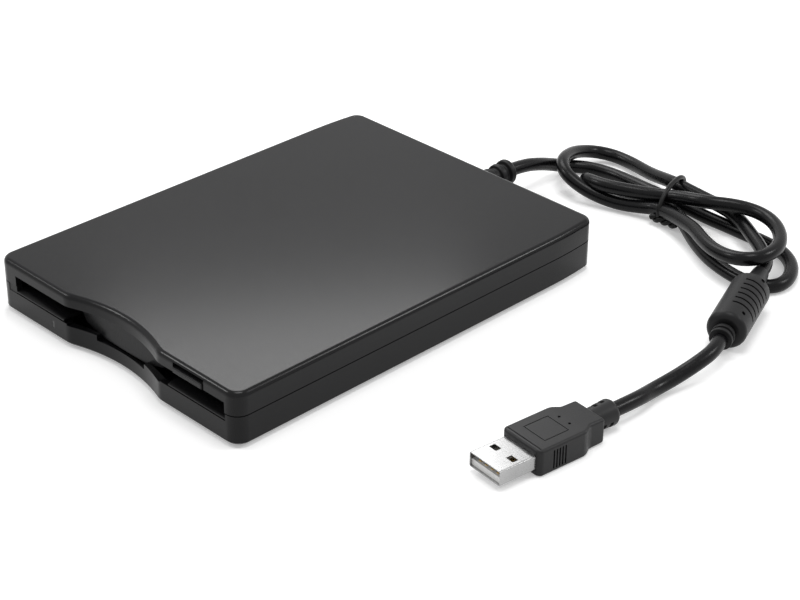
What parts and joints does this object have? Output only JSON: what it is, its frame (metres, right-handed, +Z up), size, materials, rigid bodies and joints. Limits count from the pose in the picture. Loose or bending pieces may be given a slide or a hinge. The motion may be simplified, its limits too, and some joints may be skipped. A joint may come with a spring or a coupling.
{
  "type": "external floppy disk drive",
  "caption": "Slim external 3.5 inch floppy disk drive with a finger scoop, dust flap, eject button and a captive USB lead wound in a hank.",
  "frame": {"origin": "middle of the drive's footprint, on the surface that its feet stand on", "axes": "+X to the right seen from the slot side, +Y to the back where the lead leaves, +Z up"},
  "size_m": [0.1677, 0.2036, 0.0169],
  "materials": {
    "case_black": "fine matt moulded ABS",
    "button_black": "moulded ABS, slightly smoother",
    "flap_black": "moulded ABS",
    "rubber_black": "soft rubber",
    "cord_black": "PVC jacket",
    "zinc_steel": "zinc-plated sheet steel",
    "spring_steel": "drawn spring steel",
    "screw_steel": "blackened steel",
    "rod_steel": "ground steel",
    "die_cast": "die cast",
    "bronze": "sintered bronze",
    "magnet": "bonded ferrite",
    "copper_coils": "enamelled copper on laminations",
    "white_resin": "white acetal",
    "head_ceramic": "polished ceramic",
    "board_green": "solder mask",
    "chip_black": "moulded epoxy",
    "header_white": "nylon",
    "ribbon": "flat flex",
    "light_clear": "clear acrylic",
    "led_green": "tinted epoxy",
    "plug_nickel": "nickel-plated steel",
    "plug_white": "white resin",
    "contact_gold": "gold flash",
    "plug_black": "moulded PVC"
  },
  "bodies": {
    "housing": {"upper_cover": "case_black", "lower_case": "case_black", "case_feet": "rubber_black", "case_screws": "screw_steel", "slot_bezel": "case_black", "flap_hinge_pin": "rod_steel", "flap_spring": "spring_steel", "eject_springs": "spring_steel", "chassis": "zinc_steel", "chassis_screws": "screw_steel", "motor_board": "board_green", "spindle_bearing": "bronze", "spindle_stator": "copper_coils", "guide_rod": "rod_steel", "stepper_motor": "zinc_steel", "control_board": "board_green", "control_chips": "chip_black", "bridge_board": "board_green", "bridge_chips": "chip_black", "lead_header": "header_white", "ribbon_cable": "ribbon", "disk_switches": "chip_black", "light_pipe": "light_clear", "activity_led": "led_green", "cable_boot": "rubber_black", "cord_lead": "cord_black", "cord_hank": "cord_black", "cord_tie": "rubber_black", "cord_tail": "cord_black", "ferrite_bead": "plug_black", "cord_end": "cord_black", "plug_shell": "plug_nickel", "plug_insert": "plug_white", "plug_contacts": "contact_gold", "plug_overmold": "plug_black"},
    "eject_frame": {"eject_button": "button_black", "eject_slider": "zinc_steel"},
    "carrier": {"disk_carrier": "zinc_steel", "carrier_pins": "rod_steel", "lever_clip": "spring_steel"},
    "lever": {"shutter_lever": "white_resin"},
    "flap": {"slot_flap": "flap_black"},
    "rotor": {"spindle_rotor": "zinc_steel", "rotor_magnet": "magnet", "spindle_hub": "rod_steel", "drive_pin": "rod_steel"},
    "head_sled": {"head_carriage": "die_cast", "lower_head": "head_ceramic", "arm_pin": "rod_steel"},
    "head_arm": {"upper_head_arm": "white_resin", "upper_head": "head_ceramic"},
    "screw": {"lead_screw": "rod_steel"}
  },
  "joints": [
    {"name": "eject_slide", "type": "slide", "parent": "housing", "child": "eject_frame", "axis": [0, -1, 0], "range_m": [0, 0.004], "deforming": ["eject_springs"]},
    {"name": "carrier_drop", "type": "slide", "parent": "housing", "child": "carrier", "axis": [0, 0, -1], "range_m": [0, 0.00222]},
    {"name": "shutter_turn", "type": "hinge", "parent": "carrier", "child": "lever", "pos_m": [-0.033, 0.026, 0.0143], "axis": [0, 0, 1], "range_deg": [0, 37], "stiffness_Nm_per_rad": 0.002},
    {"name": "flap_swing", "type": "hinge", "parent": "housing", "child": "flap", "pos_m": [0, -0.06365, 0.0147], "axis": [1, 0, 0], "range_deg": [0, 90], "stiffness_Nm_per_rad": 0.0002, "deforming": ["flap_spring"]},
    {"name": "spindle_turn", "type": "hinge", "parent": "housing", "child": "rotor", "pos_m": [0.00165, -0.016, 0], "axis": [0, 0, 1], "continuous": true},
    {"name": "head_slide", "type": "slide", "parent": "housing", "child": "head_sled", "axis": [0, -1, 0], "range_m": [0, 0.0148]},
    {"name": "screw_turn", "type": "hinge", "parent": "housing", "child": "screw", "pos_m": [0.01465, 0.0302, 0.0083], "axis": [0, 1, 0], "range_deg": [0, 1778]},
    {"name": "arm_lift", "type": "hinge", "parent": "head_sled", "child": "head_arm", "pos_m": [0.00165, 0.048, 0.01395], "axis": [1, 0, 0], "range_deg": [0, 11]}
  ],
  "couplings": [
    {"joint": "carrier_drop", "follows": "eject_slide", "ratio": 0.55},
    {"joint": "arm_lift", "follows": "eject_slide", "rad_per_m": 47},
    {"joint": "screw_turn", "follows": "head_slide", "rad_per_m": 2094.4}
  ]
}
